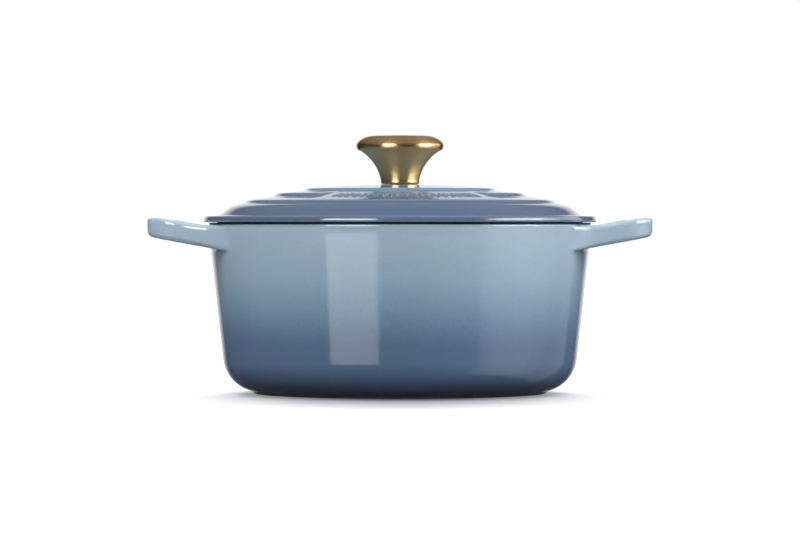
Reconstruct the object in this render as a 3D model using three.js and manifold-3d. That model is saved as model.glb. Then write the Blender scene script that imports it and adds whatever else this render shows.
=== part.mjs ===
// A round cast iron dutch oven: an enamelled pot with two loop handles cast on, a terraced lid,
// and a two-shell metal knob that one screw clamps to the lid from below.
// Millimetres, +Z up. The origin is the centre of the foot, on the surface that the pot stands on.
// The handles point along -X and +X, and the front of the lid faces -Y.
import * as THREE from "three";
import { mergeVertices } from "three/addons/utils/BufferGeometryUtils.js";
import Module from "manifold-3d";

const wasm = await Module();
wasm.setup();

// ---- Driving dimensions ----

const GAP = 0.3; // clearance between pieces that rest on each other

// Pot
const RIM_INNER_RADIUS = 120.2; // a 24 cm pot
const RIM_OUTER_RADIUS = 124.9;
const RIM_HEIGHT = 110.8;
const RIM_EDGE_RADIUS = 1.2;
const RIM_BAND = 4; // height of the upright band inside the rim
const WALL = 3.7;
const DRAFT_DEG = 6.1;
const CORNER_RADIUS = 24; // outside, between the wall and the underside
const UNDERSIDE_HEIGHT = 1.0; // lowest point of the rounded corner, above the foot
const FOOT_RADIUS = 95.8;
const FOOT_TOP_RADIUS = 97.6;
const FOOT_RING_WIDTH = 12;
const FOOT_RECESS = 0.8;

// Loop handles, in plan
const HANDLE_REACH = 164.3; // from the pot's axis to the outermost point
const HANDLE_HALF_WIDTH = 46.6;
const HANDLE_CORNER_RADIUS = 19;
const HANDLE_BAR = 15.2; // width of the bar that the fingers close on
const HANDLE_ARM = 13.2; // width of the arms that join it to the pot
const HANDLE_HOLE_CORNER_RADIUS = 12;
const HANDLE_BAR_BOW = 1.4; // how far the bar bows outwards in its middle
const HANDLE_ROOT_HALF_WIDTH = 62;
// Loop handles, from the side
const HANDLE_THICKNESS = 13.1;
const HANDLE_EDGE_RADIUS = 3.4;
const HANDLE_RISE_DEG = 9.2;
const HANDLE_MIDDLE = new THREE.Vector2(137.2, 104.1); // a point on its centre plane: x, z

// Lid
const FLANGE_RADIUS = 127.7;
const FLANGE_UNDERSIDE = RIM_HEIGHT + 0.6;
const FLANGE_TOP = 114.9;
const LID_SEAT_INNER_RADIUS = 120.3;
const LID_SEAT_OUTER_RADIUS = 121.5;
const LID_LIP_RADIUS = 118.7; // the lip that centres the lid inside the rim
const LID_LIP_WIDTH = 5.4;
const LID_LIP_DEPTH = 3;
const CROWN_HEIGHT = 135.6; // flat seat under the knob
const CROWN_SEAT_RADIUS = 13;
const LID_WALL = 3.7;
const LID_HOLE_RADIUS = 3.6;
// Each terrace edge: its radius, the height of its edge, and the fall of its riser.
const TERRACES = [
  { radius: 59.0, height: 133.4, fall: 1.9 },
  { radius: 79.0, height: 130.0, fall: 2.2 },
  { radius: 98.4, height: 125.6, fall: 2.3 },
];
const RISER_RUN = 3.2; // how far out a riser's foot lies from its edge
const BROKEN_TERRACE = 1; // this terrace stops at a plain panel in front
const PANEL_CENTRE_DEG = -87; // direction of the panel's middle, from +X
const PANEL_HALF_ANGLE_DEG = 38;
const PANEL_FADE_DEG = 5.5;
const PAD_COUNT = 3; // pads on the lip that keep the lid from rattling
const PAD_RADIUS = 5;
const PAD_PROUD = 0.6;

// Knob
const KNOB_RADIUS = 28.5;
const KNOB_TOP = 167.4;
const KNOB_WIDEST_HEIGHT = 161.1;
const KNOB_SEAM_HEIGHT = 157.4;
const KNOB_SEAM_RADIUS = 25.6;
const KNOB_WAIST_RADIUS = 12.6;
const SKIRT_CURVE_RADIUS = 29.8;
const SKIRT_CURVE_CENTRE = new THREE.Vector2(41.7, 132.5);
const SHEET = 1.2; // wall of the pressed knob shells
const SEAT_WASHER_THICKNESS = 0.6;
const SEAT_WASHER_RADIUS = 10.2;

// Screw, bush and washers
const SCREW_RADIUS = 3; // an M6 screw
const SCREW_HEAD_RADIUS = 6;
const SCREW_HEAD_HEIGHT = 3.6;
const SCREW_TIP_HEIGHT = 150;
const SLOT_WIDTH = 1.6;
const SLOT_DEPTH = 1.8;
const BUSH_RADIUS = 5.5;
const BUSH_FLANGE_RADIUS = 9;
const BUSH_FLANGE_THICKNESS = 2;
const BUSH_TOP_HEIGHT = 152;
const FLAT_WASHER_RADIUS = 9;
const FLAT_WASHER_THICKNESS = 1.4;
const LOCK_WASHER_RADIUS = 5.9;
const LOCK_WASHER_THICKNESS = 1.5;
const LOCK_WASHER_SPLIT = 1.2;

// Facets round a full turn
const CASTING_FACETS = 60;
const KNOB_FACETS = 32;
const SMALL_FACETS = 24;

// ---- Finishes ----

const FINISHES = {
  potEnamel: new THREE.MeshStandardMaterial({ color: 0x6f88a0, roughness: 0.15, metalness: 0 }),
  lidEnamel: new THREE.MeshStandardMaterial({ color: 0x64799a, roughness: 0.15, metalness: 0 }),
  goldSteel: new THREE.MeshStandardMaterial({ color: 0xb08a4a, roughness: 0.25, metalness: 1 }),
  brightSteel: new THREE.MeshStandardMaterial({ color: 0xb9bcc0, roughness: 0.3, metalness: 1 }),
  seatRubber: new THREE.MeshStandardMaterial({ color: 0x1e1e20, roughness: 0.7, metalness: 0 }),
};

// ---- Helpers ----

const rad = THREE.MathUtils.degToRad;

function at(radius, height) {
  return new THREE.Vector2(radius, height);
}

// Points along an arc of an outline. Angles are in degrees, from +radius towards +height.
function arc(centre, radius, fromDeg, toDeg, steps) {
  const clockwise = toDeg < fromDeg;
  return new THREE.EllipseCurve(
    centre.x, centre.y, radius, radius, rad(fromDeg), rad(toDeg), clockwise,
  ).getPoints(steps);
}

// An outline turned about the Z axis. It starts and ends on the axis.
function turn(outline, facets) {
  return new THREE.LatheGeometry(outline, facets).rotateX(Math.PI / 2);
}

// A closed outline that stays clear of the axis, turned about it.
function turnRing(outline, facets) {
  return turn([...outline, outline[0]], facets);
}

// A geometry as a solid that can be cut and joined.
function solid(geometry) {
  const bare = geometry.clone();
  bare.deleteAttribute("normal");
  bare.deleteAttribute("uv");
  const merged = mergeVertices(bare, 1e-4);
  return new wasm.Manifold(new wasm.Mesh({
    numProp: 3,
    vertProperties: merged.attributes.position.array,
    triVerts: new Uint32Array(merged.index.array),
  }));
}

// A solid back as a geometry.
function geometryOf(body) {
  const mesh = body.getMesh();
  const geometry = new THREE.BufferGeometry();
  geometry.setAttribute("position", new THREE.BufferAttribute(mesh.vertProperties, 3));
  geometry.setIndex(new THREE.BufferAttribute(mesh.triVerts, 1));
  geometry.computeVertexNormals();
  return geometry;
}

function piece(name, geometry, finish) {
  const mesh = new THREE.Mesh(geometry, finish);
  mesh.name = name;
  return mesh;
}

// ---- Pot ----

// The outside radius of the tapered wall at a height.
function wallRadius(height) {
  return RIM_OUTER_RADIUS - (RIM_HEIGHT - height) * Math.tan(rad(DRAFT_DEG));
}

// The centre of the rounded corner between the wall and the underside, inside and out.
function cornerCentre() {
  const height = UNDERSIDE_HEIGHT + CORNER_RADIUS;
  return at(wallRadius(height) - CORNER_RADIUS / Math.cos(rad(DRAFT_DEG)), height);
}

// The pot's outside as a filled body, from the foot to the top of the rim.
function potOutside() {
  const corner = cornerCentre();
  const footDeg = THREE.MathUtils.radToDeg(-Math.acos((FOOT_TOP_RADIUS - corner.x) / CORNER_RADIUS));
  const footInner = FOOT_RADIUS - FOOT_RING_WIDTH;
  const edge = at(RIM_OUTER_RADIUS - RIM_EDGE_RADIUS, RIM_HEIGHT - RIM_EDGE_RADIUS);
  return turn([
    at(0, FOOT_RECESS),
    at(footInner - FOOT_RECESS, FOOT_RECESS),
    at(footInner, 0),
    at(FOOT_RADIUS, 0),
    ...arc(corner, CORNER_RADIUS, footDeg, -DRAFT_DEG, 6),
    ...arc(edge, RIM_EDGE_RADIUS, -DRAFT_DEG, 90, 2),
    at(0, RIM_HEIGHT),
  ], CASTING_FACETS);
}

// What is cut out of it: the cavity, one wall in, with a chamfer at the rim's inner edge.
function potCavity() {
  const chamfer = 0.6;
  const above = RIM_HEIGHT + 10;
  const bandFoot = RIM_HEIGHT - 2 * RIM_BAND;
  return turn([
    at(0, UNDERSIDE_HEIGHT + WALL),
    ...arc(cornerCentre(), CORNER_RADIUS - WALL, -90, -DRAFT_DEG, 5),
    at(wallRadius(bandFoot) - WALL / Math.cos(rad(DRAFT_DEG)), bandFoot),
    at(RIM_INNER_RADIUS, RIM_HEIGHT - RIM_BAND),
    at(RIM_INNER_RADIUS, RIM_HEIGHT - chamfer),
    at(RIM_INNER_RADIUS + chamfer, RIM_HEIGHT),
    at(RIM_INNER_RADIUS + chamfer, above),
    at(0, above),
  ], CASTING_FACETS);
}

// The plan of one handle, on the +X side. Its back lies inside the pot, where the cavity cuts it off.
function handlePlan() {
  const barX = HANDLE_REACH - HANDLE_BAR_BOW;
  const cornerX = barX - HANDLE_CORNER_RADIUS;
  const cornerY = HANDLE_HALF_WIDTH - HANDLE_CORNER_RADIUS;
  const wallX = 106;
  const backX = 98;
  const plan = new THREE.Shape();
  plan.moveTo(backX, -HANDLE_ROOT_HALF_WIDTH);
  plan.lineTo(wallX, -HANDLE_ROOT_HALF_WIDTH);
  plan.bezierCurveTo(
    wallX + 9, -HANDLE_ROOT_HALF_WIDTH + 10,
    cornerX - 20, -HANDLE_HALF_WIDTH,
    cornerX, -HANDLE_HALF_WIDTH,
  );
  plan.absarc(cornerX, -cornerY, HANDLE_CORNER_RADIUS, -Math.PI / 2, 0, false);
  plan.quadraticCurveTo(barX + 2 * HANDLE_BAR_BOW, 0, barX, cornerY);
  plan.absarc(cornerX, cornerY, HANDLE_CORNER_RADIUS, 0, Math.PI / 2, false);
  plan.bezierCurveTo(
    cornerX - 20, HANDLE_HALF_WIDTH,
    wallX + 9, HANDLE_ROOT_HALF_WIDTH - 10,
    wallX, HANDLE_ROOT_HALF_WIDTH,
  );
  plan.lineTo(backX, HANDLE_ROOT_HALF_WIDTH);
  plan.closePath();

  const holeX = HANDLE_REACH - HANDLE_BAR - HANDLE_BAR_BOW;
  const holeHalf = HANDLE_HALF_WIDTH - HANDLE_ARM;
  const hole = new THREE.Path();
  const holeCornerX = holeX - HANDLE_HOLE_CORNER_RADIUS;
  const holeCornerY = holeHalf - HANDLE_HOLE_CORNER_RADIUS;
  hole.moveTo(wallX, holeHalf);
  hole.lineTo(wallX, -holeHalf);
  hole.absarc(holeCornerX, -holeCornerY, HANDLE_HOLE_CORNER_RADIUS, -Math.PI / 2, 0, false);
  hole.quadraticCurveTo(holeX + 2 * HANDLE_BAR_BOW, 0, holeX, holeCornerY);
  hole.absarc(holeCornerX, holeCornerY, HANDLE_HOLE_CORNER_RADIUS, 0, Math.PI / 2, false);
  hole.closePath();
  plan.holes.push(hole);
  return plan;
}

// One handle on the +X side: a rounded bar of constant upright thickness that rises outwards.
function handle() {
  const depth = HANDLE_THICKNESS - 2 * HANDLE_EDGE_RADIUS;
  const loop = new THREE.ExtrudeGeometry(handlePlan(), {
    depth,
    curveSegments: 4,
    bevelSegments: 2,
    bevelThickness: HANDLE_EDGE_RADIUS,
    bevelSize: HANDLE_EDGE_RADIUS,
    bevelOffset: -HANDLE_EDGE_RADIUS,
  });
  loop.translate(-HANDLE_MIDDLE.x, 0, -depth / 2);
  loop.applyMatrix4(new THREE.Matrix4().makeShear(0, Math.tan(rad(HANDLE_RISE_DEG)), 0, 0, 0, 0));
  return loop.translate(HANDLE_MIDDLE.x, 0, HANDLE_MIDDLE.y);
}

function potGeometry() {
  const right = handle();
  const left = right.clone().rotateZ(Math.PI);
  const cast = solid(potOutside()).add(solid(right)).add(solid(left));
  return geometryOf(cast.subtract(solid(potCavity())));
}

// ---- Lid ----

// One terrace's edge and the foot of its riser.
function terrace({ radius, height, fall }) {
  return [
    at(radius, height),
    at(radius + 0.5 * RISER_RUN, height - 0.3 * fall),
    at(radius + RISER_RUN, height - fall),
  ];
}

// The lid's section: up the underside from the lip to the hole, and back over the top to the flange.
function lidOutline() {
  const underside = CROWN_HEIGHT - LID_WALL;
  const lipBottom = RIM_HEIGHT - LID_LIP_DEPTH;
  const lipInner = LID_LIP_RADIUS - LID_LIP_WIDTH;
  const shoulder = at(99.0, 101.3);
  const edgeRadius = 1.5;
  const edge = at(FLANGE_RADIUS - edgeRadius, FLANGE_TOP - edgeRadius);
  return [
    at(LID_HOLE_RADIUS, underside),
    at(LID_HOLE_RADIUS, CROWN_HEIGHT),
    at(CROWN_SEAT_RADIUS, CROWN_HEIGHT),
    ...terrace(TERRACES[0]),
    at(67, 130.8),
    ...terrace(TERRACES[1]),
    at(87.5, 126.7),
    ...terrace(TERRACES[2]),
    ...arc(shoulder, 22, 78, 41, 3),
    at(118.4, FLANGE_TOP),
    ...arc(edge, edgeRadius, 90, 0, 2),
    at(FLANGE_RADIUS - 0.4, FLANGE_UNDERSIDE),
    at(LID_SEAT_OUTER_RADIUS + 0.3, FLANGE_UNDERSIDE),
    at(LID_SEAT_OUTER_RADIUS, RIM_HEIGHT + GAP),
    at(LID_SEAT_INNER_RADIUS, RIM_HEIGHT + GAP),
    at(LID_LIP_RADIUS, RIM_HEIGHT + GAP),
    at(LID_LIP_RADIUS, lipBottom + 0.8),
    at(LID_LIP_RADIUS - 0.8, lipBottom),
    at(lipInner + 0.8, lipBottom),
    at(lipInner, lipBottom + 0.8),
    at(lipInner - 1.2, 113.0),
    at(107.6, 117.6),
    at(98, 120.8),
    at(80, 125.2),
    at(58, 128.9),
    at(CROWN_SEAT_RADIUS, underside),
  ].reverse();
}

// How much of the broken terrace stands at a direction: 0 on the panel, 1 away from it.
function terraceShare(directionDeg) {
  const away = Math.abs(((directionDeg - PANEL_CENTRE_DEG + 540) % 360) - 180);
  return THREE.MathUtils.smoothstep(away, PANEL_HALF_ANGLE_DEG, PANEL_HALF_ANGLE_DEG + PANEL_FADE_DEG);
}

// Lowers the broken terrace to the straight slope between its neighbours, over the panel.
function levelPanel(geometry) {
  const inner = TERRACES[BROKEN_TERRACE - 1];
  const outer = TERRACES[BROKEN_TERRACE + 1];
  const from = at(inner.radius + RISER_RUN, inner.height - inner.fall);
  const to = at(outer.radius, outer.height);
  const place = geometry.getAttribute("position");
  for (let i = 0; i < place.count; i += 1) {
    const radius = Math.hypot(place.getX(i), place.getY(i));
    const slope = THREE.MathUtils.mapLinear(radius, from.x, to.x, from.y, to.y);
    const onTop = place.getZ(i) > slope - LID_WALL / 2;
    if (onTop && radius > from.x && radius < to.x) {
      const direction = THREE.MathUtils.radToDeg(Math.atan2(place.getY(i), place.getX(i)));
      place.setZ(i, THREE.MathUtils.lerp(slope, place.getZ(i), terraceShare(direction)));
    }
  }
  return geometry;
}

function lidGeometry() {
  let lid = solid(levelPanel(turnRing(lidOutline(), CASTING_FACETS)));
  const padHeight = 1.8;
  for (let i = 0; i < PAD_COUNT; i += 1) {
    const pad = new THREE.CylinderGeometry(PAD_RADIUS, PAD_RADIUS, padHeight, 12)
      .rotateX(Math.PI / 2)
      .translate(LID_LIP_RADIUS + PAD_PROUD - PAD_RADIUS, 0, RIM_HEIGHT - 0.4 - padHeight / 2)
      .rotateZ(rad(90 + (360 / PAD_COUNT) * i));
    lid = lid.add(solid(pad));
  }
  return geometryOf(lid);
}

// ---- Knob ----

// The pressed cap: an upturned dish whose lip turns in over the skirt.
function knobCapGeometry() {
  const lip = at(KNOB_SEAM_RADIUS - 0.2, KNOB_WIDEST_HEIGHT - 0.4);
  const over = new THREE.CubicBezierCurve(
    at(KNOB_RADIUS, KNOB_WIDEST_HEIGHT), at(KNOB_RADIUS, 163.3), at(24.2, KNOB_TOP), at(17.5, KNOB_TOP),
  );
  const under = new THREE.CubicBezierCurve(
    at(17.5, KNOB_TOP - SHEET), at(23.6, KNOB_TOP - SHEET),
    at(KNOB_RADIUS - SHEET, 163.0), at(KNOB_RADIUS - SHEET, KNOB_WIDEST_HEIGHT),
  );
  const lipEnd = KNOB_SEAM_RADIUS - 0.3;
  return turn([
    at(0, KNOB_TOP - SHEET - 0.3),
    ...under.getPoints(4),
    at(KNOB_SEAM_RADIUS, KNOB_SEAM_HEIGHT + SHEET),
    at(lipEnd, KNOB_SEAM_HEIGHT + SHEET),
    at(lipEnd, KNOB_SEAM_HEIGHT),
    ...arc(lip, KNOB_RADIUS - lip.x, -80, 0, 3).slice(0, -1),
    ...over.getPoints(5),
    at(15, KNOB_TOP - 0.3),
    at(0, KNOB_TOP - 0.3),
  ], KNOB_FACETS);
}

// The trumpet-shaped skirt: open at the top, with an inturned base that has a hole for the bush.
// Its rim comes down round the seat washer, which presses on the base.
function knobSkirtGeometry() {
  const rim = CROWN_HEIGHT + GAP;
  const base = rim + SEAT_WASHER_THICKNESS + GAP;
  const topDeg = 123.7;
  const waistDeg = 168.6;
  const foot = at(KNOB_WAIST_RADIUS - 1.5, rim + 1.5);
  return turnRing([
    at(BUSH_RADIUS + GAP, base),
    at(SEAT_WASHER_RADIUS + GAP, base),
    at(SEAT_WASHER_RADIUS + GAP, rim),
    ...arc(foot, 1.5, -90, 0, 3),
    ...arc(SKIRT_CURVE_CENTRE, SKIRT_CURVE_RADIUS, waistDeg, topDeg, 6),
    at(KNOB_SEAM_RADIUS - 0.6, KNOB_SEAM_HEIGHT + 0.9),
    at(KNOB_SEAM_RADIUS - 1.8, KNOB_SEAM_HEIGHT + 0.9),
    ...arc(SKIRT_CURVE_CENTRE, SKIRT_CURVE_RADIUS + SHEET, topDeg, waistDeg, 5),
    at(KNOB_WAIST_RADIUS - SHEET - 0.5, base + SHEET),
    at(BUSH_RADIUS + GAP, base + SHEET),
  ], KNOB_FACETS);
}

// The threaded bush that the screw pulls down on the skirt's base.
function knobBushGeometry() {
  const base = CROWN_HEIGHT + 2 * GAP + SEAT_WASHER_THICKNESS;
  const flange = base + SHEET + GAP;
  const bore = SCREW_RADIUS + GAP;
  return turnRing([
    at(bore, base),
    at(BUSH_RADIUS, base),
    at(BUSH_RADIUS, flange),
    at(BUSH_FLANGE_RADIUS, flange),
    at(BUSH_FLANGE_RADIUS, flange + BUSH_FLANGE_THICKNESS),
    at(BUSH_RADIUS, flange + BUSH_FLANGE_THICKNESS),
    at(BUSH_RADIUS, BUSH_TOP_HEIGHT),
    at(bore, BUSH_TOP_HEIGHT),
  ], SMALL_FACETS);
}

// A flat ring that stands on a height, with a hole that clears the screw.
function washerGeometry(bottom, radius, thickness, facets) {
  const hole = LID_HOLE_RADIUS;
  return turnRing([
    at(hole, bottom),
    at(radius, bottom),
    at(radius, bottom + thickness),
    at(hole, bottom + thickness),
  ], facets);
}

// ---- Screw stack, hanging below the lid ----

const FLAT_WASHER_BOTTOM = CROWN_HEIGHT - LID_WALL - GAP - FLAT_WASHER_THICKNESS;
const LOCK_WASHER_BOTTOM = FLAT_WASHER_BOTTOM - GAP - LOCK_WASHER_THICKNESS;
const SCREW_HEAD_TOP = LOCK_WASHER_BOTTOM - GAP;

// A ring cut through on one side, so that it springs.
function lockWasherGeometry() {
  const ring = solid(washerGeometry(
    LOCK_WASHER_BOTTOM, LOCK_WASHER_RADIUS, LOCK_WASHER_THICKNESS, SMALL_FACETS,
  ));
  const split = new THREE.BoxGeometry(LOCK_WASHER_RADIUS * 2, LOCK_WASHER_SPLIT, LOCK_WASHER_THICKNESS * 2)
    .translate(LOCK_WASHER_RADIUS, 0, LOCK_WASHER_BOTTOM + LOCK_WASHER_THICKNESS / 2);
  return geometryOf(ring.subtract(solid(split)));
}

// A pan-head screw with a cross recess, head down.
function screwGeometry() {
  const bottom = SCREW_HEAD_TOP - SCREW_HEAD_HEIGHT;
  const pan = 1.6; // rounding of the head's rim
  const shank = solid(turn([
    at(0, bottom),
    ...arc(at(SCREW_HEAD_RADIUS - pan, bottom + pan), pan, -90, 0, 3),
    at(SCREW_HEAD_RADIUS, SCREW_HEAD_TOP),
    at(SCREW_RADIUS, SCREW_HEAD_TOP),
    at(SCREW_RADIUS, SCREW_TIP_HEIGHT - 0.8),
    at(SCREW_RADIUS - 0.8, SCREW_TIP_HEIGHT),
    at(0, SCREW_TIP_HEIGHT),
  ], SMALL_FACETS));
  const slot = new THREE.BoxGeometry(SCREW_HEAD_RADIUS * 1.2, SLOT_WIDTH, SLOT_DEPTH * 2)
    .translate(0, 0, bottom);
  const cross = slot.clone().rotateZ(Math.PI / 2);
  return geometryOf(shank.subtract(solid(slot)).subtract(solid(cross)));
}

// ---- Assembly ----

const potAssembly = new THREE.Group();
potAssembly.add(piece("pot", potGeometry(), FINISHES.potEnamel));

const knobAssembly = new THREE.Group();
knobAssembly.add(
  piece("knob_seat_washer", washerGeometry(
    CROWN_HEIGHT + GAP, SEAT_WASHER_RADIUS, SEAT_WASHER_THICKNESS, KNOB_FACETS,
  ), FINISHES.seatRubber),
  piece("knob_skirt", knobSkirtGeometry(), FINISHES.goldSteel),
  piece("knob_cap", knobCapGeometry(), FINISHES.goldSteel),
  piece("knob_threaded_bush", knobBushGeometry(), FINISHES.brightSteel),
);

const screwAssembly = new THREE.Group();
screwAssembly.add(
  piece("flat_washer", washerGeometry(
    FLAT_WASHER_BOTTOM, FLAT_WASHER_RADIUS, FLAT_WASHER_THICKNESS, SMALL_FACETS,
  ), FINISHES.brightSteel),
  piece("lock_washer", lockWasherGeometry(), FINISHES.brightSteel),
  piece("knob_screw", screwGeometry(), FINISHES.brightSteel),
);

const lidAssembly = new THREE.Group();
lidAssembly.add(piece("lid", lidGeometry(), FINISHES.lidEnamel), knobAssembly, screwAssembly);

const dutchOven = new THREE.Group();
dutchOven.add(potAssembly, lidAssembly);

export default dutchOven;
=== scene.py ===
import math

import bmesh
import bpy
import numpy as np
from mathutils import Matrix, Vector, kdtree


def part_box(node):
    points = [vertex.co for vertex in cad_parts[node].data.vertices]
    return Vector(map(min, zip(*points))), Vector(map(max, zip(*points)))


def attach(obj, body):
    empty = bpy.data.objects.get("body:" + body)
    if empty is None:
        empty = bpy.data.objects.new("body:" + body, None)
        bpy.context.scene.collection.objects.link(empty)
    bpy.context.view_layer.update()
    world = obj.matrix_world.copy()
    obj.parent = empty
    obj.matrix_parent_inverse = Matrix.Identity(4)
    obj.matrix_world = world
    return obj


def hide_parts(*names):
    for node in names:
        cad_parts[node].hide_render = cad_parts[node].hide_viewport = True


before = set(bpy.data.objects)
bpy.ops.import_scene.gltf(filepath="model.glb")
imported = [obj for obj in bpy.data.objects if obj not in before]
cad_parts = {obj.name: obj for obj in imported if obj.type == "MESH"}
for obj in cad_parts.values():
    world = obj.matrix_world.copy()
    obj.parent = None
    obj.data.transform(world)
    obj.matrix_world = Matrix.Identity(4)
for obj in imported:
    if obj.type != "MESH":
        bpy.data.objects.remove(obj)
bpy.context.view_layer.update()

# A round cast iron dutch oven in blue vitreous enamel, with a gold knob.
# +Z is up. The pot stands on z = 0, its handles point along X, and its front faces -Y.
# Sizes and outlines are in millimetres, and MM turns them into the scene's metres.

MM = 0.001

# ---- Sizes read from the frame ----


def measured(node):
    """A node's bottom, its top, and how far it reaches along X and along Y."""
    low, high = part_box(node)
    return low.z / MM, high.z / MM, high.x / MM, high.y / MM


_, _, HANDLE_REACH, RIM_OUTER = measured("pot")
LIP_BOTTOM, CROWN_HEIGHT, _, FLANGE_RADIUS = measured("lid")
CAP_BOTTOM, CAP_TOP, CAP_RADIUS, _ = measured("knob_cap")
SKIRT_BOTTOM, SKIRT_TOP, _, _ = measured("knob_skirt")
BUSH_BOTTOM, BUSH_TOP, BUSH_RADIUS, _ = measured("knob_threaded_bush")
SEAT_BOTTOM, SEAT_TOP, SEAT_RADIUS, _ = measured("knob_seat_washer")
FLAT_BOTTOM, FLAT_TOP, FLAT_RADIUS, _ = measured("flat_washer")
LOCK_BOTTOM, LOCK_TOP, _, LOCK_RADIUS = measured("lock_washer")
SCREW_BOTTOM, SCREW_TOP, SCREW_RADIUS, _ = measured("knob_screw")

GAP = 0.3  # between pieces that touch on the real pot

# ---- Sizes of the pot ----

RIM_HEIGHT = LIP_BOTTOM + 3.0
RIM_INNER = 120.2
RIM_BAND_FOOT = RIM_HEIGHT - 1.0  # the black band runs from here over the rim
WALL = 3.7
DRAFT = math.radians(6.1)
CORNER = 24.0
UNDERSIDE = 1.0
FOOT_RADIUS = 95.8
FOOT_TOP_RADIUS = 97.7
FOOT_TOP_HEIGHT = 1.8
FOOT_INNER = 83.8
FOOT_RECESS = 0.8

# Handles in plan, on the +X side
HANDLE_HALF = 46.6  # from the loop's middle to the outside of its arm
HANDLE_CORNER = 19.0
HANDLE_BAR = 15.2
HANDLE_ARM = 13.2
HANDLE_HOLE_CORNER = 12.0
HANDLE_BOW = 1.4  # how far the bar bulges outwards in its middle
# Handles from the side
HANDLE_TOP = 109.1
HANDLE_TOP_RISE = 4.8
HANDLE_RISE_START, HANDLE_RISE_END = 124, 160
HANDLE_LOW = 94.6  # at HANDLE_LOW_START, where the underside leaves the wall
HANDLE_LOW_START = 122
HANDLE_LOW_SLOPE = 0.183
HANDLE_TOP_EDGE = 2.0
HANDLE_LOW_EDGE = 3.8
HANDLE_ZONE = 84  # the handles join the wall above this height
FILLET_REACH = 2.4  # how far the cast fillet spreads from the joint of handle and wall

# ---- Sizes of the lid ----

LID_WALL = 3.7
LID_HOLE = 3.6
LIP_RADIUS = 118.7
# Each terrace's edge and the foot of its riser: radius, height, radius, height
TERRACES = [(60.6, 133.15, 62.4, 131.4), (80.0, 130.0, 82.4, 127.8), (99.4, 125.4, 101.7, 123.35)]
# The middle of the wall's thickness: radius, height
WALL_MIDDLE = [
    (0, 133.7), (13, 133.7), (58, 131), (80, 127.3), (98, 123), (107, 119.6), (112, 117), (114, 113),
]
PANEL_CENTRE = math.radians(-87)
PANEL_HALF = math.radians(38)
PANEL_FADE = math.radians(5.5)
PANEL_INNER = (63.4, 131.3)  # the plain slope's upper and lower ends: radius, height
PANEL_OUTER = (98.0, 125.6)
RELIEF_RADIUS = 81.5
RELIEF_LENGTH = 12.0
RELIEF_WIDTH = 5.4
RELIEF_BAR = 1.1
RELIEF_COUNT = 10
RELIEF_PITCH = math.radians(6.5)
RELIEF_RAISE = 0.7
RELIEF_LOWEST = 125.5  # nothing below this height is raised
PAD_COUNT = 3
PAD_PROUD = 0.6
PAD_HALF_WIDTH = 3.6
PAD_FADE = 1.6

# ---- Sizes of the knob and its fastening ----

SHEET = 1.2  # pressed metal
THREAD_PITCH = 1.0
THREAD_STEP = 0.16  # length of a row of faces on a thread


# ---- Outlines and meshes ----


def rounded_outline(corners, turn_step=math.radians(9)):
    """Points along (radius, height, rounding) corners, each rounded corner drawn as an arc."""
    points = []
    last = len(corners) - 1
    for i, (radius, height, rounding) in enumerate(corners):
        here = np.array((radius, height))
        if rounding == 0 or i in (0, last):
            points.append(here)
            continue
        back = np.array(corners[i - 1][:2]) - here
        on = np.array(corners[i + 1][:2]) - here
        back /= np.linalg.norm(back)
        on /= np.linalg.norm(on)
        half = 0.5 * math.acos(np.clip(back @ on, -1, 1))
        centre = here + (back + on) / np.linalg.norm(back + on) * rounding / math.sin(half)
        start = here + back * rounding / math.tan(half) - centre
        end = here + on * rounding / math.tan(half) - centre
        first = math.atan2(start[1], start[0])
        turn = (math.atan2(end[1], end[0]) - first + math.pi) % math.tau - math.pi
        steps = max(2, math.ceil(abs(turn) / turn_step))
        for angle in first + turn * np.linspace(0, 1, steps + 1):
            points.append(centre + rounding * np.array((math.cos(angle), math.sin(angle))))
    return np.array(points)


def refined(outline, longest):
    """The same outline with no step longer than longest(middle of the step)."""
    points = [outline[0]]
    for start, end in zip(outline[:-1], outline[1:]):
        steps = max(1, math.ceil(np.linalg.norm(end - start) / longest((start + end) / 2)))
        for share in np.linspace(0, 1, steps + 1)[1:]:
            points.append(start + (end - start) * share)
    return np.array(points)


def even_angles(count):
    return np.linspace(0, math.tau, count, endpoint=False)


def spaced_angles(spans):
    """Directions for a full turn, from (start, end, step) spans in degrees."""
    parts = [
        np.linspace(start, end, round((end - start) / step), endpoint=False)
        for start, end, step in spans
    ]
    return np.radians(np.concatenate(parts))


def arc(centre, radius, angles):
    return np.array(centre) + radius * np.stack((np.cos(angles), np.sin(angles)), axis=1)


def bezier(points, share):
    a, b, c, d = (np.array(p, dtype=float) for p in points)
    s = np.asarray(share)[:, None]
    return a * (1 - s) ** 3 + 3 * b * s * (1 - s) ** 2 + 3 * c * s ** 2 * (1 - s) + d * s ** 3


def smoothstep(low, high, value):
    share = np.clip((value - low) / (high - low), 0, 1)
    return share * share * (3 - 2 * share)


def new_object(name, data):
    obj = bpy.data.objects.new(name, data)
    bpy.context.scene.collection.objects.link(obj)
    return obj


def new_piece(name, points, faces):
    """A mesh object from points in metres."""
    mesh = bpy.data.meshes.new(name)
    mesh.from_pydata(points, [], faces)
    mesh.validate()
    return new_object(name, mesh)


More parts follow.
